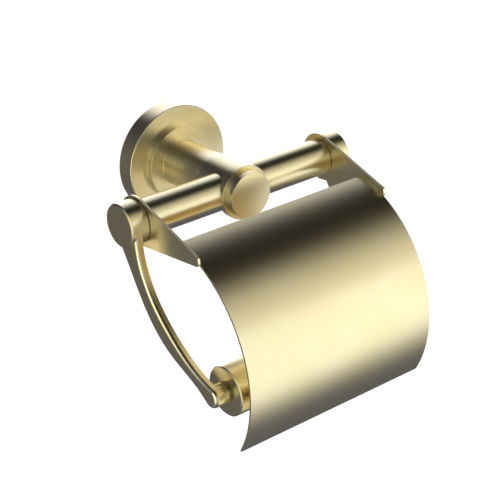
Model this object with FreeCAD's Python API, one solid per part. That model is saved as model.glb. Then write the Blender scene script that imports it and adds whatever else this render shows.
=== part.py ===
"""Wall-mounted toilet paper holder in satin brass, with a lift-up cover.

Frame: millimetres. The origin is the centre of the rosette's back face, on the wall.
The post points away from the wall along -Y, the cross bar lies along X, and +Z is up.
"""
import FreeCAD
import Part
import math
import os

from FreeCAD import Vector

# ---------------------------------------------------------------- driving dimensions
AXIS_Y = -56.3            # cross bar axis, measured from the wall
HALF_WIDTH = 68.7         # end faces of the hubs

ROSE_R = 30.0             # wall rosette
ROSE_T = 10.3
ROSE_WALL = 3.0
ROSE_EDGE = 0.5
BOSS_R = 19.8             # raised boss in the middle of the rosette
BOSS_Y = -13.8
BOSS_EDGE = 0.12          # round on the edge of the boss and in the corner at its foot

NECK_R = 12.3             # neck, narrowest next to the boss
NECK_FILLET = 0.15        # fillet between the boss and the neck
JOINT_Y = -43.5           # joint between the neck and the post head
JOINT_GROOVE = 0.4

HEAD_R = 13.35            # post head that carries the bars
COLLAR_R = 14.1
COLLAR_BACK_Y = -62.0
COLLAR_CONE = 0.5         # half length of the cone behind the collar
COLLAR_FRONT_Y = -66.2
COLLAR_RIM = 0.15         # chamfer around the front of the collar
CAP_R = 12.1              # front cap disc
CAP_FRONT_Y = -70.9
CAP_DOME = 0.08
CAP_RIM = 0.15            # chamfer around the front of the cap
CAP_FLAT_R = 0.8          # flat that the lathe leaves at the centre of the dome

BAR_R = 9.5               # two half bars
BAR_BORE_R = 5.05
BAR_SEAT_X = 8.0          # depth of the seats in the post head
HUB_R = 11.15             # hub of each arm, outside the cover's ear
HUB_CHAMFER = 0.6

EAR_IN_X = 57.4           # cover ears
EAR_T = 1.3
AXIAL_GAP = 0.05
WASHER_T = 0.3
WASHER_R = 7.0
SPIGOT_R = 5.0
SPIGOT_END_X = 50.0
BUSH_R = 5.95
EAR_BORE_R = 6.0
FIT = 0.03                # slack of a static close fit

ARM_IN_X = 63.1           # flat curved arm
ARM_OUT_X = 66.9
ARM_TIP_R = 5.3
ARM_EDGE_ROUND = 1.8
ROLLER_F = 63.0           # roller axis, ahead of and below the bar axis
ROLLER_Z = -67.3
ROLLER_R = 12.6
ROLLER_END_X = 57.5
ROLLER_PIN_R = 3.0
PIN_FIT = 0.06
SOCKET_DEPTH_X = 63.6
SOCKET_BOSS_R = 5.15      # boss around the roller's socket
SOCKET_BOSS_END_X = 59.0

COVER_R = 64.5            # outer radius of the rolled cover
COVER_T = 1.0
COVER_F = 17.7            # centre of the cover's arc, from the bar axis
COVER_Z = -63.3
COVER_TOP_DEG = 76.7
COVER_BOTTOM_DEG = -30.3

COVER_LIFT_DEG = 110.0    # travel set by the stop pin in its slot
STOP_PITCH_R = 8.3
STOP_PIN_R = 0.75
STOP_SLACK = 0.3
STOP_DEG = 235.0
STOP_PIN_SEAT = 2.0       # depth of the stop pin in the hub

GRUB_R = 2.0              # set screws
GRUB_POINT = 1.0          # length of the tapered point
GRUB_POINT_R = 1.0
GRUB_SOCKET_DEPTH = 1.9

ROD_CLEARANCE = 0.1
THREAD_END_GAP = 0.3      # free depth at the bottom of a tapped hole
OVERCUT = 1.0             # how far a cutter runs past the surface it opens
SAME = 0.01               # two stations closer than this are the same

UP = Vector(0, 0, 1)
ROLLER_Y = AXIS_Y - ROLLER_F


# ---------------------------------------------------------------- helpers
def cyl_x(radius, x0, x1, y=AXIS_Y, z=0.0):
    """Cylinder along X between two stations."""
    low = min(x0, x1)
    return Part.makeCylinder(radius, abs(x1 - x0), Vector(low, y, z), Vector(1, 0, 0))


def tube_x(outer, inner, x0, x1, y=AXIS_Y, z=0.0):
    return cyl_x(outer, x0, x1, y, z).cut(cyl_x(inner, x0, x1, y, z))


def cyl_y(radius, y0, y1, x=0.0, z=0.0):
    """Cylinder along Y between two stations."""
    low = min(y0, y1)
    return Part.makeCylinder(radius, abs(y1 - y0), Vector(x, low, z), Vector(0, 1, 0))


def cyl_z(radius, z0, z1, x, y):
    low = min(z0, z1)
    return Part.makeCylinder(radius, abs(z1 - z0), Vector(x, y, low), UP)


def line(a, b):
    return Part.LineSegment(a, b).toShape()


def arc(a, mid, b):
    return Part.Arc(a, mid, b).toShape()


def turned_y(*spans):
    """Solid of revolution about Y.

    Each span is an edge, or a list of (radius, y): 2 points for a line and 3 for an arc.
    """
    edges = []
    for span in spans:
        if isinstance(span, Part.Edge):
            edges.append(span)
            continue
        points = [Vector(radius, y, 0) for radius, y in span]
        edges.append(line(*points) if len(points) == 2 else arc(*points))
    face = Part.Face(Part.Wire(edges))
    return face.revolve(Vector(0, 0, 0), Vector(0, 1, 0), 360)


def hex_prism(across_flats, length, base, direction):
    """Hexagonal prism that starts at base and runs along direction."""
    radius = across_flats / math.sqrt(3)
    rotation = FreeCAD.Rotation(UP, direction)
    corners = []
    for i in range(7):
        angle = math.radians(60 * i)
        flat = Vector(radius * math.cos(angle), radius * math.sin(angle), 0)
        corners.append(base + rotation.multVec(flat))
    return Part.Face(Part.makePolygon(corners)).extrude(direction * length)


def grub_screw(length, tip, direction):
    """Socket set screw whose tip is at tip and whose socket opens along direction."""
    shoulder = tip + direction * GRUB_POINT
    body = Part.makeCylinder(GRUB_R, length - GRUB_POINT, shoulder, direction)
    point = Part.makeCone(GRUB_POINT_R, GRUB_R, GRUB_POINT, tip, direction)
    floor = tip + direction * (length - GRUB_SOCKET_DEPTH)
    socket = hex_prism(GRUB_R, GRUB_SOCKET_DEPTH, floor, direction)
    return body.fuse(point).cut(socket).removeSplitter()


def side_point(x, forward, up):
    """Point given by its place ahead of and above the bar axis."""
    return Vector(x, AXIS_Y - forward, up)


def polar_point(x, radius, degrees):
    """Point around the bar axis; 0 degrees is straight ahead and 90 is up."""
    angle = math.radians(degrees)
    return side_point(x, radius * math.cos(angle), radius * math.sin(angle))


def hull_face(x, circles):
    """Face in the plane X = x around circles (forward, up, radius) listed anticlockwise."""
    edges = []
    count = len(circles)
    tangents = []
    for i in range(count):
        f0, z0, r0 = circles[i]
        f1, z1, r1 = circles[(i + 1) % count]
        span = math.hypot(f1 - f0, z1 - z0)
        heading = math.atan2(z1 - z0, f1 - f0)
        normal = heading - math.pi / 2 + math.asin((r0 - r1) / span)
        tangents.append(normal)
    for i in range(count):
        f0, z0, r0 = circles[i]
        f1, z1, r1 = circles[(i + 1) % count]
        leave = tangents[i]
        arrive = tangents[i - 1]
        while leave < arrive:
            leave += 2 * math.pi
        points = [
            side_point(x, f0 + r0 * math.cos(a), z0 + r0 * math.sin(a))
            for a in (arrive, (arrive + leave) / 2, leave)
        ]
        following = side_point(x, f1 + r1 * math.cos(leave), z1 + r1 * math.sin(leave))
        edges.append(arc(*points))
        edges.append(line(points[2], following))
    return Part.Face(Part.Wire(edges))


def edges_at_x(solid, x):
    """Edges that lie in the plane at X = x."""
    found = []
    for edge in solid.Edges:
        box = edge.BoundBox
        if abs(box.XMin - x) < SAME and abs(box.XMax - x) < SAME:
            found.append(edge)
    return found


def mirrored(shape):
    """The same piece on the other side of the middle plane."""
    return shape.mirror(Vector(0, 0, 0), Vector(1, 0, 0))


def export(name, *solids):
    shape = solids[0] if len(solids) == 1 else Part.makeCompound(list(solids))
    shape.exportStep(os.path.join("parts", name + ".step"))


# ---------------------------------------------------------------- wall side
WALL_PLATE_R = 26.0
WALL_PLATE_T = 6.0
PLATE_POCKET_R = 21.5     # pocket that leaves room for the heads of the wall screws
PLATE_WEB_T = 3.0
GROOVE_DEPTH = 0.6        # groove around the plate for the rosette's set screw
GROOVE_HALF_WIDTH = 1.7
PLATE_SLOT_PITCH = 30.0
PLATE_SLOT_R = 2.4
PLATE_SLOT_LENGTH = 8.0
ROSE_GRUB_Y = -3.0
ROSE_GRUB_LENGTH = 4.2
STUD_R = 5.0
STUD_BACK_Y = -12.0
STUD_FRONT_Y = -46.0
DRIVER_SLOT_WIDTH = 1.2
DRIVER_SLOT_DEPTH = 1.5
HOLLOW_Y = -7.0           # floor of the hollow behind the rosette


def wall_plate():
    """Round dished plate, screwed to the wall through two slots, that holds the rosette."""
    plate = cyl_y(WALL_PLATE_R, 0, -WALL_PLATE_T)
    plate = plate.cut(cyl_y(PLATE_POCKET_R, -PLATE_WEB_T, -WALL_PLATE_T))
    half = PLATE_SLOT_LENGTH / 2 - PLATE_SLOT_R
    for side in (-1, 1):
        x = side * PLATE_SLOT_PITCH / 2
        for end in (-half, half):
            plate = plate.cut(cyl_y(PLATE_SLOT_R, 0, -PLATE_WEB_T, x + end))
        corner = Vector(x - half, -PLATE_WEB_T, -PLATE_SLOT_R)
        plate = plate.cut(Part.makeBox(2 * half, PLATE_WEB_T, 2 * PLATE_SLOT_R, corner))
    back = ROSE_GRUB_Y + GROOVE_HALF_WIDTH
    front = ROSE_GRUB_Y - GROOVE_HALF_WIDTH
    groove = cyl_y(WALL_PLATE_R + OVERCUT, back, front)
    groove = groove.cut(cyl_y(WALL_PLATE_R - GROOVE_DEPTH, back, front))
    return plate.cut(groove)


def corner_arc(radius, y, from_corner, to_corner, size):
    """Quarter round of a profile corner at (radius, y) between two unit directions."""
    blend = size * (1 - math.sqrt(0.5))
    (r0, y0), (r1, y1) = from_corner, to_corner
    return [
        (radius + size * r0, y + size * y0),
        (radius + blend * (r0 + r1), y + blend * (y0 + y1)),
        (radius + size * r1, y + size * y1),
    ]


def rosette():
    """Round wall cover with its stepped boss and the neck, turned and hollow at the back."""
    hollow_r = ROSE_R - ROSE_WALL
    bore_r = STUD_R + FIT
    front_r = HEAD_R - JOINT_GROOVE

    outwards = (1, 0)
    inwards = (-1, 0)
    to_wall = (0, 1)
    to_room = (0, -1)
    rim = corner_arc(ROSE_R, -ROSE_T, to_wall, inwards, ROSE_EDGE)
    foot = corner_arc(BOSS_R, -ROSE_T, outwards, to_room, BOSS_EDGE)
    edge = corner_arc(BOSS_R, BOSS_Y, to_wall, inwards, BOSS_EDGE)
    root = corner_arc(NECK_R, BOSS_Y, outwards, to_room, NECK_FILLET)

    neck_back = root[-1][1]
    neck_length = neck_back - JOINT_Y
    swell = front_r - NECK_R
    neck = Part.BSplineCurve()
    neck.interpolate(
        Points=[
            Vector(NECK_R, neck_back, 0),
            Vector(NECK_R + swell / 4, JOINT_Y + neck_length / 2, 0),
            Vector(front_r, JOINT_Y, 0),
        ],
        InitialTangent=Vector(0, -neck_length, 0),
        FinalTangent=Vector(2 * swell, -neck_length, 0),
    )

    body = turned_y(
        [(ROSE_R, 0), rim[0]],
        rim,
        [rim[-1], foot[0]],
        foot,
        [foot[-1], edge[0]],
        edge,
        [edge[-1], root[0]],
        root,
        neck.toShape(),
        [(front_r, JOINT_Y), (bore_r, JOINT_Y)],
        [(bore_r, JOINT_Y), (bore_r, STUD_BACK_Y)],
        [(bore_r, STUD_BACK_Y), (0, STUD_BACK_Y)],
        [(0, STUD_BACK_Y), (0, HOLLOW_Y)],
        [(0, HOLLOW_Y), (hollow_r, HOLLOW_Y)],
        [(hollow_r, HOLLOW_Y), (hollow_r, 0)],
        [(hollow_r, 0), (ROSE_R, 0)],
    )
    screw_hole = cyl_z(GRUB_R + FIT, -ROSE_R - OVERCUT, -hollow_r + OVERCUT, 0, ROSE_GRUB_Y)
    return body.cut(screw_hole)


def rosette_grub_screw():
    """Set screw under the rosette that grips the groove of the wall plate."""
    tip = Vector(0, ROSE_GRUB_Y, GROOVE_DEPTH - WALL_PLATE_R)
    return grub_screw(ROSE_GRUB_LENGTH, tip, -UP)


def post_stud():
    """Threaded stud that joins the neck to the post head."""
    corner = Vector(-DRIVER_SLOT_WIDTH / 2, STUD_FRONT_Y, -STUD_R)
    slot = Part.makeBox(DRIVER_SLOT_WIDTH, DRIVER_SLOT_DEPTH, 2 * STUD_R, corner)
    return cyl_y(STUD_R, STUD_BACK_Y - THREAD_END_GAP, STUD_FRONT_Y).cut(slot)


# ---------------------------------------------------------------- post head and bars
TIE_R = 3.0
NUT_FLOOR_X = 61.2
NUT_RECESS_R = 7.2
NUT_WASHER_T = 1.0
NUT_T = 3.2
NUT_ACROSS_FLATS = 10.0
TIE_WASHER_R = 6.4
ROD_PAST_NUT = 0.8
END_CAP_R = 10.4
END_CAP_T = 1.75
END_CAP_CHAMFER = 0.15
CAP_STUD_R = 4.0
CAP_STUD_END_Y = -62.0
BAR_GRUB_X = 53.6
BAR_GRUB_LENGTH = 4.4
BAR_GRUB_BITE = 0.5       # how far the point goes into the spigot


def post_head():
    """Turned head with a raised collar, seats for both bars and a tapped front."""
    back_r = HEAD_R - JOINT_GROOVE
    shoulder = JOINT_Y - JOINT_GROOVE
    cone_start = COLLAR_BACK_Y + COLLAR_CONE
    cone_end = COLLAR_BACK_Y - COLLAR_CONE
    head = turned_y(
        [(0, JOINT_Y), (back_r, JOINT_Y)],
        [(back_r, JOINT_Y), (HEAD_R, shoulder)],
        [(HEAD_R, shoulder), (HEAD_R, cone_start)],
        [(HEAD_R, cone_start), (COLLAR_R, cone_end)],
        [(COLLAR_R, cone_end), (COLLAR_R, COLLAR_FRONT_Y + COLLAR_RIM)],
        [(COLLAR_R, COLLAR_FRONT_Y + COLLAR_RIM), (COLLAR_R - COLLAR_RIM, COLLAR_FRONT_Y)],
        [(COLLAR_R - COLLAR_RIM, COLLAR_FRONT_Y), (0, COLLAR_FRONT_Y)],
        [(0, COLLAR_FRONT_Y), (0, JOINT_Y)],
    )
    head = head.cut(cyl_y(STUD_R + FIT, JOINT_Y, STUD_FRONT_Y - THREAD_END_GAP))
    head = head.cut(cyl_y(CAP_STUD_R + FIT, COLLAR_FRONT_Y, CAP_STUD_END_Y + THREAD_END_GAP))
    head = head.cut(cyl_x(TIE_R + ROD_CLEARANCE, -HEAD_R, HEAD_R))
    for side in (-1, 1):
        head = head.cut(cyl_x(BAR_R + FIT, side * BAR_SEAT_X, side * (COLLAR_R + OVERCUT)))
    return head


def front_cap():
    """Thick, slightly domed disc with a threaded spigot."""
    rim_r = CAP_R - CAP_RIM
    sphere_r = (rim_r ** 2 + CAP_DOME ** 2) / (2 * CAP_DOME)

    def crown(radius):
        rise = math.sqrt(sphere_r ** 2 - radius ** 2) - (sphere_r - CAP_DOME)
        return (radius, CAP_FRONT_Y - rise)

    centre = crown(CAP_FLAT_R)
    return turned_y(
        [(0, CAP_STUD_END_Y), (CAP_STUD_R, CAP_STUD_END_Y)],
        [(CAP_STUD_R, CAP_STUD_END_Y), (CAP_STUD_R, COLLAR_FRONT_Y)],
        [(CAP_STUD_R, COLLAR_FRONT_Y), (CAP_R, COLLAR_FRONT_Y)],
        [(CAP_R, COLLAR_FRONT_Y), (CAP_R, CAP_FRONT_Y + CAP_RIM)],
        [(CAP_R, CAP_FRONT_Y + CAP_RIM), crown(rim_r)],
        [crown(rim_r), crown((rim_r + CAP_FLAT_R) / 2), centre],
        [centre, (0, centre[1])],
        [(0, centre[1]), (0, CAP_STUD_END_Y)],
    )


def bar_right():
    """Half bar: seated in the post head, bored for the tie rod and the arm's spigot."""
    end = EAR_IN_X - AXIAL_GAP - WASHER_T
    bar = tube_x(BAR_R, BAR_BORE_R, BAR_SEAT_X, end)
    bottom = -BAR_R - OVERCUT
    return bar.cut(cyl_z(GRUB_R + FIT, bottom, -BAR_BORE_R + OVERCUT, BAR_GRUB_X, AXIS_Y))


def bar_grub_screw():
    """Set screw under the bar that locks the arm's spigot."""
    tip = Vector(BAR_GRUB_X, AXIS_Y, BAR_GRUB_BITE - SPIGOT_R)
    return grub_screw(BAR_GRUB_LENGTH, tip, -UP)


def tie_rod():
    """Threaded rod that draws both arms and both bars against the post head."""
    reach = NUT_FLOOR_X + NUT_WASHER_T + NUT_T + ROD_PAST_NUT
    return cyl_x(TIE_R, -reach, reach)


def tie_nut():
    start = NUT_FLOOR_X + NUT_WASHER_T
    nut = hex_prism(NUT_ACROSS_FLATS, NUT_T, Vector(start, AXIS_Y, 0), Vector(1, 0, 0))
    return nut.cut(cyl_x(TIE_R + FIT, start, start + NUT_T))


def tie_washer():
    return tube_x(TIE_WASHER_R, TIE_R + ROD_CLEARANCE, NUT_FLOOR_X, NUT_FLOOR_X + NUT_WASHER_T)


# ---------------------------------------------------------------- arms
HUB_IN_X = EAR_IN_X + EAR_T + AXIAL_GAP + WASHER_T

# Side profile of the arm as (ahead of, above) the bar axis. The front edge leaves the hub
# upright, the rear edge comes out of it lower down, and both end at the round tip.
ARM_FRONT_EDGE = [(12.9, -17.7), (21.0, -33.2), (34.3, -46.8), (51.5, -58.0)]
ARM_BACK_EDGE = [(47.9, -64.3), (32.6, -57.3), (17.4, -44.7), (3.1, -22.9)]
ARM_FRONT_START = (11.05, 0.0)
ARM_BACK_END = (-5.5, -9.0)
TIP_DEG = (64.5, -37.0, -120.0)    # where the tip's arc starts, passes and ends


def arm_blade():
    """Flat arm, widest at the hub, with a round tip and softened outer edges."""
    tip = []
    for degrees in TIP_DEG:
        angle = math.radians(degrees)
        forward = ROLLER_F + ARM_TIP_R * math.cos(angle)
        tip.append(side_point(ARM_IN_X, forward, ROLLER_Z + ARM_TIP_R * math.sin(angle)))

    front = Part.BSplineCurve()
    front_points = [side_point(ARM_IN_X, *p) for p in [ARM_FRONT_START] + ARM_FRONT_EDGE]
    front.interpolate(front_points + [tip[0]])
    back = Part.BSplineCurve()
    back_points = [side_point(ARM_IN_X, *p) for p in ARM_BACK_EDGE + [ARM_BACK_END]]
    back.interpolate([tip[2]] + back_points)
    inside_hub = arc(back_points[-1], side_point(ARM_IN_X, 0, NUT_RECESS_R), front_points[0])
    outline = [front.toShape(), arc(*tip), back.toShape(), inside_hub]
    blade = Part.Face(Part.Wire(outline)).extrude(Vector(ARM_OUT_X - ARM_IN_X, 0, 0))
    outer_edges = edges_at_x(blade, ARM_OUT_X)
    rounded = [edge for edge in outer_edges if edge.BoundBox.ZMax < SAME]
    return blade.makeFillet(ARM_EDGE_ROUND, rounded)


def arm_right():
    """Cast arm: hub with a spigot and a nut recess, curved blade and the roller's socket."""
    hub = cyl_x(HUB_R, HUB_IN_X, HALF_WIDTH)
    hub = hub.makeChamfer(HUB_CHAMFER, edges_at_x(hub, HALF_WIDTH))
    boss_root = ARM_OUT_X - ARM_EDGE_ROUND
    socket_boss = cyl_x(SOCKET_BOSS_R, SOCKET_BOSS_END_X, boss_root, ROLLER_Y, ROLLER_Z)
    arm = hub.fuse(arm_blade()).fuse(socket_boss)
    arm = arm.fuse(cyl_x(SPIGOT_R, SPIGOT_END_X, HUB_IN_X))
    arm = arm.cut(cyl_x(NUT_RECESS_R, NUT_FLOOR_X, HALF_WIDTH))
    arm = arm.cut(cyl_x(END_CAP_R + FIT, HALF_WIDTH - END_CAP_T, HALF_WIDTH))
    arm = arm.cut(cyl_x(TIE_R + ROD_CLEARANCE, SPIGOT_END_X, NUT_FLOOR_X))
    socket_r = ROLLER_PIN_R + PIN_FIT
    arm = arm.cut(cyl_x(socket_r, SOCKET_BOSS_END_X, SOCKET_DEPTH_X, ROLLER_Y, ROLLER_Z))
    arm = arm.cut(stop_pin(FIT))
    notch_base = Vector(BAR_GRUB_X, AXIS_Y, BAR_GRUB_BITE - SPIGOT_R - GRUB_POINT)
    notch = Part.makeCone(GRUB_R + FIT, GRUB_POINT_R + FIT, GRUB_POINT, notch_base, UP)
    return arm.cut(notch)


def end_cap_right():
    """Flat disc pressed into the hub over the nut."""
    start = HALF_WIDTH - END_CAP_T
    disc = cyl_x(END_CAP_R, start, HALF_WIDTH)
    return disc.makeChamfer(END_CAP_CHAMFER, edges_at_x(disc, HALF_WIDTH))


def stop_pin(slack=0.0):
    """Dowel in the hub's inner face that runs in the slot of the ear."""
    centre = polar_point(0, STOP_PITCH_R, STOP_DEG)
    inner_end = EAR_IN_X + STOP_SLACK
    return cyl_x(STOP_PIN_R + slack, inner_end, HUB_IN_X + STOP_PIN_SEAT, centre.y, centre.z)


def pivot_bush():
    """Nylon bush on the spigot; its flange keeps the ear off the bar."""
    flange_start = EAR_IN_X - AXIAL_GAP - WASHER_T
    flange_end = EAR_IN_X - AXIAL_GAP
    barrel_end = HUB_IN_X - WASHER_T
    flange = tube_x(WASHER_R, SPIGOT_R + FIT, flange_start, flange_end)
    return flange.fuse(tube_x(BUSH_R, SPIGOT_R + FIT, flange_end, barrel_end)).removeSplitter()


def pivot_washer():
    return tube_x(WASHER_R, SPIGOT_R + FIT, HUB_IN_X - WASHER_T, HUB_IN_X)


# ---------------------------------------------------------------- cover
EAR_HEAD_R = 12.5
EAR_NOSE = [(46.6, -5.7, 1.9), (47.4, -3.6, 0.9)]    # two round corners: ahead, up, radius


def stop_slot():
    """Curved slot, round at both ends, as long as the cover's travel."""
    half = STOP_PIN_R + STOP_SLACK
    high = STOP_DEG
    low = STOP_DEG - COVER_LIFT_DEG
    middle = (low + high) / 2
    outer_r = STOP_PITCH_R + half
    inner_r = STOP_PITCH_R - half
    past = math.degrees(half / STOP_PITCH_R)

    def spot(radius, degrees):
        return polar_point(EAR_IN_X, radius, degrees)

    outline = [
        arc(spot(outer_r, low), spot(outer_r, middle), spot(outer_r, high)),
        arc(spot(outer_r, high), spot(STOP_PITCH_R, high + past), spot(inner_r, high)),
        arc(spot(inner_r, high), spot(inner_r, middle), spot(inner_r, low)),
        arc(spot(inner_r, low), spot(STOP_PITCH_R, low - past), spot(outer_r, low)),
    ]
    return Part.Face(Part.Wire(outline)).extrude(Vector(EAR_T, 0, 0))


def ear_right():
    """Tapered plate with the pivot bore and the curved slot for the stop pin."""
    outline = hull_face(EAR_IN_X, [(0, 0, EAR_HEAD_R)] + EAR_NOSE)
    ear = outline.extrude(Vector(EAR_T, 0, 0))
    ear = ear.cut(cyl_x(EAR_BORE_R, EAR_IN_X, EAR_IN_X + EAR_T))
    return ear.cut(stop_slot())


def cover_sheet():
    """Rolled sheet that hangs in front of the paper."""

    def rolled(radius, degrees):
        angle = math.radians(degrees)
        return side_point(
            -EAR_IN_X, COVER_F + radius * math.cos(angle), COVER_Z + radius * math.sin(angle)
        )

    inner = COVER_R - COVER_T
    middle = (COVER_TOP_DEG + COVER_BOTTOM_DEG) / 2
    outer_arc = arc(*[rolled(COVER_R, a) for a in (COVER_TOP_DEG, middle, COVER_BOTTOM_DEG)])
    inner_arc = arc(*[rolled(inner, a) for a in (COVER_BOTTOM_DEG, middle, COVER_TOP_DEG)])
    bottom = line(rolled(COVER_R, COVER_BOTTOM_DEG), rolled(inner, COVER_BOTTOM_DEG))
    top = line(rolled(inner, COVER_TOP_DEG), rolled(COVER_R, COVER_TOP_DEG))
    face = Part.Face(Part.Wire([outer_arc, bottom, inner_arc, top]))
    return face.extrude(Vector(2 * EAR_IN_X, 0, 0))


# ---------------------------------------------------------------- spring roller
TUBE_T = 1.4
INNER_TUBE_R = 10.9
PLUG_FLANGE_X = 47.3      # inner end of each end plug's visible rim
PLUG_END_X = 39.0
OUTER_TUBE_END_X = 12.0
INNER_TUBE_END_X = -20.0
SPRING_SEAT_T = 3.0
SPRING_WIRE_R = 0.8
SPRING_R = 6.5
SPRING_TURNS = 6
SPRING_END_GAP = 0.05
ROLLER_CHAMFER = 0.5
PIN_CHAMFER = 0.6
PIN_TIP_X = 62.7
PIN_ROOT_X = 46.0


def roller_cyl(radius, x0, x1):
    return cyl_x(radius, x0, x1, ROLLER_Y, ROLLER_Z)


def roller_end(side, spigot_r):
    """End plug: chamfered rim outside the tube and a spigot inside it, bored for the pin."""
    rim = roller_cyl(ROLLER_R, side * PLUG_FLANGE_X, side * ROLLER_END_X)
    plug = rim.makeChamfer(ROLLER_CHAMFER, edges_at_x(rim, side * ROLLER_END_X))
    plug = plug.fuse(roller_cyl(spigot_r, side * PLUG_END_X, side * PLUG_FLANGE_X))
    return plug.cut(roller_cyl(ROLLER_PIN_R + FIT, side * PIN_ROOT_X, side * ROLLER_END_X))


def roller_pin(side):
    """Pivot pin pressed into the end plug, with a chamfered tip."""
    pin = roller_cyl(ROLLER_PIN_R, side * PIN_ROOT_X, side * PIN_TIP_X)
    return pin.makeChamfer(PIN_CHAMFER, edges_at_x(pin, side * PIN_TIP_X))


def roller_outer_tube():
    tube = roller_cyl(ROLLER_R, -PLUG_FLANGE_X, OUTER_TUBE_END_X)
    return tube.cut(roller_cyl(ROLLER_R - TUBE_T, -PLUG_FLANGE_X, OUTER_TUBE_END_X))


def roller_inner_tube():
    tube = roller_cyl(INNER_TUBE_R, INNER_TUBE_END_X, PLUG_FLANGE_X)
    return tube.cut(roller_cyl(INNER_TUBE_R - TUBE_T, INNER_TUBE_END_X, PLUG_FLANGE_X))


def spring_seat():
    """Disc pressed into the end of the inner tube for the spring to push on."""
    inner_r = INNER_TUBE_R - TUBE_T
    return roller_cyl(inner_r - FIT, INNER_TUBE_END_X, INNER_TUBE_END_X + SPRING_SEAT_T)


def roller_spring():
    """Compression spring between the left end plug and the spring seat."""
    start = -PLUG_END_X + SPRING_WIRE_R + SPRING_END_GAP
    length = INNER_TUBE_END_X - SPRING_WIRE_R - SPRING_END_GAP - start
    helix = Part.makeHelix(length / SPRING_TURNS, length, SPRING_R)
    path = Part.Wire(helix.Edges)
    circle = Part.Circle(Vector(SPRING_R, 0, 0), Vector(0, 1, 0), SPRING_WIRE_R)
    section = Part.Wire([circle.toShape()])
    coil = path.makePipeShell([section], True, True)
    coil.rotate(Vector(0, 0, 0), Vector(0, 1, 0), 90)
    coil.translate(Vector(start, ROLLER_Y, ROLLER_Z))
    return coil


# ---------------------------------------------------------------- assembly
def main():
    os.makedirs("parts", exist_ok=True)
    export("wall_plate", wall_plate())
    export("rosette", rosette())
    export("rosette_grub_screw", rosette_grub_screw())
    export("post_stud", post_stud())
    export("post_head", post_head())
    export("front_cap", front_cap())
    export("tie_rod", tie_rod())

    for name, piece in (("bar", bar_right()), ("arm", arm_right()), ("end_cap", end_cap_right()),
                        ("pivot_bush", pivot_bush()), ("ear", ear_right())):
        export(name + "_right", piece)
        export(name + "_left", mirrored(piece))

    for name, piece in (("bar_grub_screws", bar_grub_screw()), ("tie_nuts", tie_nut()),
                        ("tie_washers", tie_washer()), ("pivot_washers", pivot_washer()),
                        ("cover_stop_pins", stop_pin())):
        export(name, piece, mirrored(piece))

    export("cover_sheet", cover_sheet())
    export("roller_outer_tube", roller_outer_tube())
    export("roller_inner_tube", roller_inner_tube())
    export("roller_end_left", roller_end(-1, ROLLER_R - TUBE_T - FIT))
    export("roller_end_right", roller_end(1, INNER_TUBE_R - TUBE_T - FIT))
    export("roller_pin_left", roller_pin(-1))
    export("roller_pin_right", roller_pin(1))
    export("spring_seat", spring_seat())
    export("roller_spring", roller_spring())


main()
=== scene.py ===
"""Satin brass toilet paper holder on a plain pale floor, in soft studio light."""
import math

import bpy
from mathutils import Matrix, Vector


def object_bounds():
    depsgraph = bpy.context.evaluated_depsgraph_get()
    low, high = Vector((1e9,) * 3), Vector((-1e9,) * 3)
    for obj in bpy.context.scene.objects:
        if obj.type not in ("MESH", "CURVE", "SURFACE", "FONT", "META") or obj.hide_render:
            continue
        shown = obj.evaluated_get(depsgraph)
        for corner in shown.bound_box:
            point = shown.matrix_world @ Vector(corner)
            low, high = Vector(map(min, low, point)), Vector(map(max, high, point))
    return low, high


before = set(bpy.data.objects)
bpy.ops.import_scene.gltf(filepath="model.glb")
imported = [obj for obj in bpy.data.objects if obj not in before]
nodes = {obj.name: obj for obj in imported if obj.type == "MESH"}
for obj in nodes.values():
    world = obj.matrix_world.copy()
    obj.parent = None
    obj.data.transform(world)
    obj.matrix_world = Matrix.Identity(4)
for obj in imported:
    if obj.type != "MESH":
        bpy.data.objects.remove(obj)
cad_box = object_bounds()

scene = bpy.context.scene

# ---------------------------------------------------------------- dimensions in metres
MM = 0.001
POST_AXIS = (0.0, 0.0)                     # x and z of the post's axis, which runs along Y
BAR_AXIS = (-56.3 * MM, 0.0)               # y and z of the bar's axis, which runs along X
ROLLER_AXIS = (-119.3 * MM, -67.3 * MM)    # y and z of the roller's axis, which runs along X

# ---------------------------------------------------------------- colours
BRASS = (0.945, 0.802, 0.468)
BRASS_WARM = (0.925, 0.772, 0.425)
BRASS_WORN = (0.985, 0.875, 0.590)
ZINC = (0.62, 0.63, 0.64)
ZINC_DARK = (0.50, 0.51, 0.53)
NYLON = (0.80, 0.78, 0.71)
NYLON_DARK = (0.72, 0.69, 0.60)
WHITE = (1.0, 1.0, 1.0)
BLACK = (0.0, 0.0, 0.0)

# ---------------------------------------------------------------- finish of the metal
BRASS_ROUGHNESS = 0.29
ZINC_ROUGHNESS = 0.34

GRAIN_ACROSS = 5200.0         # grain lines per metre across the brushing
GRAIN_ALONG = 60.0            # how fast one line changes along its length
GRAIN_DETAIL = 4.0
GRAIN_FINENESS = 0.65         # strength of the finest lines
GRAIN_BUMP = 0.03
GRAIN_DEPTH = 0.02 * MM
CLOUD_SCALE = 38.0            # slow variation of the finish
CLOUD_DETAIL = 2.0

TONE_GRAIN = 0.25             # shares of grain and cloud in the mix of the two colours
TONE_CLOUD = 0.75
TONE_LOW, TONE_HIGH = 0.36, 0.64      # mixes that give the first and the second colour alone

ROUGH_SHIFT = -0.03           # change of roughness before grain and cloud add to it
ROUGH_GRAIN = 0.04
ROUGH_CLOUD = 0.02
ROUGH_EDGE = -0.06            # a polished rim is smoother

EDGE_RADIUS = 0.14 * MM       # width of the polished rims
EDGE_SAMPLES = 4
EDGE_START, EDGE_FULL = 0.995, 0.90   # cosines between the rounded and the true normal
EDGE_WEAR = 0.6               # share of the worn colour on a rim

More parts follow.
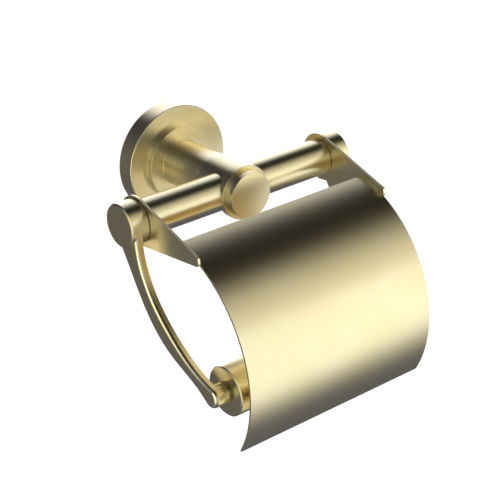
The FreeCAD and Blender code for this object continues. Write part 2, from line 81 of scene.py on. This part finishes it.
# ---------------------------------------------------------------- finish of the nylon
MOTTLE_SCALE = 260.0
PORE_SCALE = 4200.0
PORE_BUMP = 0.25
PORE_DEPTH = 0.02 * MM
PORE_ROUGHNESS = 0.15         # added to the roughness at a full pore
NYLON_ROUGHNESS = 0.42

# ---------------------------------------------------------------- studio
FLOOR_DROP = 0.26             # floor below the lowest point of the holder
FLOOR_SIZE = 30.0
FLOOR_COLOUR = (0.9, 0.9, 0.9)
FLOOR_ROUGHNESS = 0.9
FLOOR_GLOW = 0.85             # keeps the floor as pale as the backdrop

DOME_SIDE = (0.060, 0.054, 0.040)     # dim part of the studio at the horizon
DOME_TOP = (-0.110, -0.108, -0.090)   # change towards the dark ceiling
DOME_BOTTOM = (0.045, 0.065, 0.150)   # change towards the floor

# Soft boxes as azimuth, elevation, half width, half height, feather across, feather up and
# colour. Angles are in degrees, and sizes are tangents of the angle seen from the holder.
SOFT_BOXES = (
    (41.0, 2.0, 0.172, 0.936, 0.698, 0.744, (1.51, 1.55, 1.53)),
    (144.9, 7.0, 0.486, 0.750, 0.265, 0.675, (1.50, 1.65, 2.08)),
    (-112.0, 7.8, 0.049, 2.056, 0.381, 0.372, (0.39, 0.49, 0.82)),
    (-84.0, -4.0, 0.420, 0.560, 0.300, 0.600, (1.95, 2.05, 1.75)),
    (-6.2, -11.4, 1.348, 0.772, 0.080, 0.100, (0.34, 0.42, 0.56)),
    (90.8, -6.4, 0.271, 0.364, 0.308, 0.404, (0.77, 0.90, 1.25)),
    (-148.0, 20.0, 0.350, 0.900, 0.300, 0.700, (0.040, 0.046, 0.075)),
)
LEAST_DEPTH = 0.001           # stands in for directions beside or behind a soft box

# ---------------------------------------------------------------- camera
CAMERA_AT = Vector((-0.40815, -0.59182, 0.29274))
CAMERA_AZIMUTH = -37.940      # degrees
CAMERA_ELEVATION = 25.993     # degrees that the camera looks down
CAMERA_ROLL = -2.113          # degrees
CAMERA_LENS = 105.647         # millimetres, on the sensor below
CAMERA_SENSOR = 36.0
CAMERA_CLIP_START = 0.01


# ---------------------------------------------------------------- node helpers
class Graph:
    """Short calls to add and wire nodes in one node tree."""

    def __init__(self, tree):
        self.tree = tree
        tree.nodes.clear()

    def feed(self, socket, value):
        """Wires a value that is a socket to the input, and sets the input to any other value."""
        if isinstance(value, bpy.types.NodeSocket):
            self.tree.links.new(value, socket)
        elif socket.type == "RGBA":
            socket.default_value = (*value, 1.0)
        else:
            socket.default_value = value

    def add(self, kind, inputs=None, **settings):
        """A node with its settings and its inputs, each given by name or number."""
        node = self.tree.nodes.new(kind)
        for name, value in settings.items():
            setattr(node, name, value)
        for name, value in (inputs or {}).items():
            self.feed(node.inputs[name], value)
        return node

    def maths(self, operation, first, second=0.0, third=0.0):
        node = self.add("ShaderNodeMath", operation=operation,
                        inputs={0: first, 1: second, 2: third})
        return node.outputs[0]

    def dot(self, first, second):
        node = self.add("ShaderNodeVectorMath", operation="DOT_PRODUCT",
                        inputs={0: first, 1: second})
        return node.outputs["Value"]

    def smooth(self, value, low, high, to_low=0.0, to_high=1.0):
        """Smooth step from to_low at low to to_high at high."""
        node = self.add("ShaderNodeMapRange", interpolation_type="SMOOTHSTEP",
                        inputs={"Value": value, "From Min": low, "From Max": high,
                                "To Min": to_low, "To Max": to_high})
        return node.outputs["Result"]

    def blend(self, factor, low, high):
        """Mix of two colours; 6, 7 and 2 are the colour sockets of the Mix node."""
        node = self.add("ShaderNodeMix", data_type="RGBA", inputs={0: factor, 6: low, 7: high})
        return node.outputs[2]

    def noise(self, vector, scale, detail=3.0, roughness=0.55):
        node = self.add("ShaderNodeTexNoise",
                        inputs={"Vector": vector, "Scale": scale, "Detail": detail,
                                "Roughness": roughness})
        return node.outputs["Fac"]


def new_material(name):
    """An empty node material, its graph, and its object coordinates."""
    material = bpy.data.materials.new(name)
    material.use_nodes = True
    graph = Graph(material.node_tree)
    place = graph.add("ShaderNodeTexCoord").outputs["Object"]
    return material, graph, place


# ---------------------------------------------------------------- grain directions
def flat_grain(graph, place, axis):
    """Coordinates squeezed across one axis, so that a noise runs along it."""
    stretch = [GRAIN_ACROSS] * 3
    stretch["XYZ".index(axis)] = GRAIN_ALONG
    node = graph.add("ShaderNodeVectorMath", operation="MULTIPLY",
                     inputs={0: place, 1: stretch})
    return node.outputs["Vector"]


def turned_grain(graph, place, axis, centre):
    """Coordinates for a turned piece: a noise runs round the axis through centre."""
    parts = graph.add("ShaderNodeSeparateXYZ", inputs={0: place})
    across = [name for name in "XYZ" if name != axis]
    first = graph.maths("SUBTRACT", parts.outputs[across[0]], centre[0])
    second = graph.maths("SUBTRACT", parts.outputs[across[1]], centre[1])
    square = graph.maths("MULTIPLY_ADD", first, first, graph.maths("MULTIPLY", second, second))
    radius = graph.maths("SQRT", square)
    drift = graph.maths("MULTIPLY", graph.maths("ADD", first, second), GRAIN_ALONG)
    node = graph.add("ShaderNodeCombineXYZ",
                     inputs={0: graph.maths("MULTIPLY", parts.outputs[axis], GRAIN_ACROSS),
                             1: graph.maths("MULTIPLY", radius, GRAIN_ACROSS),
                             2: drift})
    return node.outputs[0]


def turned(axis, centre):
    return lambda graph, place: turned_grain(graph, place, axis, centre)


def along(axis):
    return lambda graph, place: flat_grain(graph, place, axis)


# ---------------------------------------------------------------- materials
def metal(name, colour, second_colour, worn_colour, roughness, grain):
    """Brushed metal: fine grain in bump and roughness, slow tone variation, brighter edges."""
    material, graph, place = new_material(name)
    lines = graph.noise(grain(graph, place), 1.0, detail=GRAIN_DETAIL, roughness=GRAIN_FINENESS)
    cloud = graph.noise(place, CLOUD_SCALE, detail=CLOUD_DETAIL)

    rounded = graph.add("ShaderNodeBevel", samples=EDGE_SAMPLES,
                        inputs={"Radius": EDGE_RADIUS}).outputs["Normal"]
    true_normal = graph.add("ShaderNodeNewGeometry").outputs["Normal"]
    edge = graph.smooth(graph.dot(rounded, true_normal), EDGE_START, EDGE_FULL)

    mixed = graph.maths("MULTIPLY_ADD", lines, TONE_GRAIN,
                        graph.maths("MULTIPLY", cloud, TONE_CLOUD))
    body = graph.blend(graph.smooth(mixed, TONE_LOW, TONE_HIGH), colour, second_colour)
    worn = graph.blend(graph.maths("MULTIPLY", edge, EDGE_WEAR), body, worn_colour)

    rough = graph.maths("MULTIPLY_ADD", lines, ROUGH_GRAIN, roughness + ROUGH_SHIFT)
    rough = graph.maths("MULTIPLY_ADD", cloud, ROUGH_CLOUD, rough)
    rough = graph.maths("MULTIPLY_ADD", edge, ROUGH_EDGE, rough)

    bump = graph.add("ShaderNodeBump",
                     inputs={"Height": lines, "Strength": GRAIN_BUMP, "Distance": GRAIN_DEPTH,
                             "Normal": rounded})
    shader = graph.add("ShaderNodeBsdfPrincipled",
                       inputs={"Base Color": worn, "Metallic": 1.0, "Roughness": rough,
                               "Normal": bump.outputs[0]})
    graph.add("ShaderNodeOutputMaterial", inputs={"Surface": shader.outputs[0]})
    return material


def brass(name, grain):
    return metal(name, BRASS, BRASS_WARM, BRASS_WORN, BRASS_ROUGHNESS, grain)


def zinc(name, grain):
    return metal(name, ZINC, ZINC_DARK, ZINC, ZINC_ROUGHNESS, grain)


def plastic(name, colour, second_colour):
    """Natural nylon: faint mottling and a fine moulded texture."""
    material, graph, place = new_material(name)
    mottle = graph.noise(place, MOTTLE_SCALE)
    pores = graph.noise(place, PORE_SCALE)
    rough = graph.maths("MULTIPLY_ADD", pores, PORE_ROUGHNESS, NYLON_ROUGHNESS)
    bump = graph.add("ShaderNodeBump",
                     inputs={"Height": pores, "Strength": PORE_BUMP, "Distance": PORE_DEPTH})
    shader = graph.add("ShaderNodeBsdfPrincipled",
                       inputs={"Base Color": graph.blend(mottle, colour, second_colour),
                               "Roughness": rough, "Normal": bump.outputs[0]})
    graph.add("ShaderNodeOutputMaterial", inputs={"Surface": shader.outputs[0]})
    return material


# ---------------------------------------------------------------- materials on the CAD nodes
FINISHES = (
    (brass("brass_turned_on_post", turned("Y", POST_AXIS)),
     ("rosette", "post_head", "front_cap")),
    (brass("brass_turned_on_bar", turned("X", BAR_AXIS)),
     ("bar_left", "bar_right", "end_cap_left", "end_cap_right")),
    (brass("brass_turned_on_roller", turned("X", ROLLER_AXIS)),
     ("roller_outer_tube", "roller_inner_tube", "roller_end_left", "roller_end_right")),
    (brass("brass_brushed_sheet", along("X")),
     ("cover_sheet", "ear_left", "ear_right")),
    (brass("brass_brushed_arm", along("Z")),
     ("arm_left", "arm_right")),
    (zinc("zinc_turned_on_post", turned("Y", POST_AXIS)),
     ("wall_plate", "post_stud", "rosette_grub_screw")),
    (zinc("zinc_turned_on_bar", turned("X", BAR_AXIS)),
     ("tie_rod", "tie_nuts", "tie_washers", "bar_grub_screws", "cover_stop_pins")),
    (zinc("zinc_turned_on_roller", turned("X", ROLLER_AXIS)),
     ("roller_pin_left", "roller_pin_right", "roller_spring")),
    (plastic("natural_nylon", NYLON, NYLON_DARK),
     ("pivot_bush_left", "pivot_bush_right", "pivot_washers", "spring_seat")),
)
for finish, names in FINISHES:
    for name in names:
        slots = nodes[name].data.materials
        slots.clear()
        slots.append(finish)


# ---------------------------------------------------------------- light, floor and camera
def facing_vector(azimuth, elevation):
    """Unit vector from the holder; azimuth 0 is in front of the wall and 90 is along +X."""
    turn = math.radians(azimuth)
    rise = math.radians(elevation)
    return Vector((math.sin(turn) * math.cos(rise),
                   -math.cos(turn) * math.cos(rise),
                   math.sin(rise)))


def soft_box(graph, direction, azimuth, elevation, half_width, half_height, feather_x, feather_y):
    """Share of one feathered rectangular soft box in the light from a direction, 0 to 1."""
    forward = facing_vector(azimuth, elevation)
    turn = math.radians(azimuth)
    right = Vector((math.cos(turn), math.sin(turn), 0.0))
    above = right.cross(forward)
    depth = graph.maths("MAXIMUM", graph.dot(direction, forward), LEAST_DEPTH)
    share = 1.0
    for axis, half, feather in ((right, half_width, feather_x), (above, half_height, feather_y)):
        offset = graph.maths("DIVIDE", graph.maths("ABSOLUTE", graph.dot(direction, axis)), depth)
        inside = graph.smooth(offset, half - feather, half + feather, 1.0, 0.0)
        share = graph.maths("MULTIPLY", inside, share)
    return share


def studio_dome():
    """Soft boxes that light the metal; the camera sees a plain white backdrop instead."""
    world = bpy.data.worlds.new("studio")
    scene.world = world
    world.use_nodes = True
    graph = Graph(world.node_tree)
    direction = graph.add("ShaderNodeTexCoord").outputs["Generated"]
    height = graph.add("ShaderNodeSeparateXYZ", inputs={0: direction}).outputs["Z"]
    depth = graph.maths("MULTIPLY", height, -1.0)
    layers = [(DOME_TOP, graph.maths("MAXIMUM", height, 0.0)),
              (DOME_BOTTOM, graph.maths("MAXIMUM", depth, 0.0))]
    for *box, colour in SOFT_BOXES:
        layers.append((colour, soft_box(graph, direction, *box)))
    light = DOME_SIDE
    for colour, share in layers:
        node = graph.add("ShaderNodeVectorMath", operation="MULTIPLY_ADD",
                         inputs={0: colour, 1: share, 2: light})
        light = node.outputs["Vector"]
    lit = graph.add("ShaderNodeVectorMath", operation="MAXIMUM", inputs={0: light, 1: BLACK})
    studio = graph.add("ShaderNodeBackground", inputs={"Color": lit.outputs["Vector"]})
    backdrop = graph.add("ShaderNodeBackground", inputs={"Color": WHITE})
    seen = graph.add("ShaderNodeLightPath").outputs["Is Camera Ray"]
    both = graph.add("ShaderNodeMixShader",
                     inputs={0: seen, 1: studio.outputs[0], 2: backdrop.outputs[0]})
    graph.add("ShaderNodeOutputWorld", inputs={"Surface": both.outputs[0]})


def pale_material():
    """Plain pale finish with a glow of its own, so that it needs no lamp."""
    material = bpy.data.materials.new("pale_floor")
    material.use_nodes = True
    shader = material.node_tree.nodes["Principled BSDF"]
    shader.inputs["Base Color"].default_value = (*FLOOR_COLOUR, 1.0)
    shader.inputs["Roughness"].default_value = FLOOR_ROUGHNESS
    shader.inputs["Emission Color"].default_value = (*WHITE, 1.0)
    shader.inputs["Emission Strength"].default_value = FLOOR_GLOW
    return material


def pale_stage():
    """Plain pale floor for the camera only: the metal reflects the studio dome instead."""
    bpy.ops.mesh.primitive_plane_add(size=FLOOR_SIZE,
                                     location=(0, 0, cad_box[0][2] - FLOOR_DROP))
    floor = bpy.context.object
    floor.name = "floor"
    floor.data.materials.append(pale_material())
    floor.visible_glossy = False
    floor.visible_diffuse = False
    floor.visible_transmission = False
    floor.visible_shadow = False


def place_camera():
    """Camera with the place, direction, roll and lens solved from the photograph."""
    data = bpy.data.cameras.new("camera")
    data.lens = CAMERA_LENS
    data.sensor_width = CAMERA_SENSOR
    data.clip_start = CAMERA_CLIP_START
    camera = bpy.data.objects.new("camera", data)
    scene.collection.objects.link(camera)
    camera.matrix_world = (
        Matrix.Translation(CAMERA_AT)
        @ Matrix.Rotation(math.radians(CAMERA_AZIMUTH), 4, "Z")
        @ Matrix.Rotation(math.radians(90.0 - CAMERA_ELEVATION), 4, "X")
        @ Matrix.Rotation(math.radians(CAMERA_ROLL), 4, "Z")
    )
    scene.camera = camera


studio_dome()
pale_stage()
place_camera()
scene.view_settings.view_transform = "Standard"
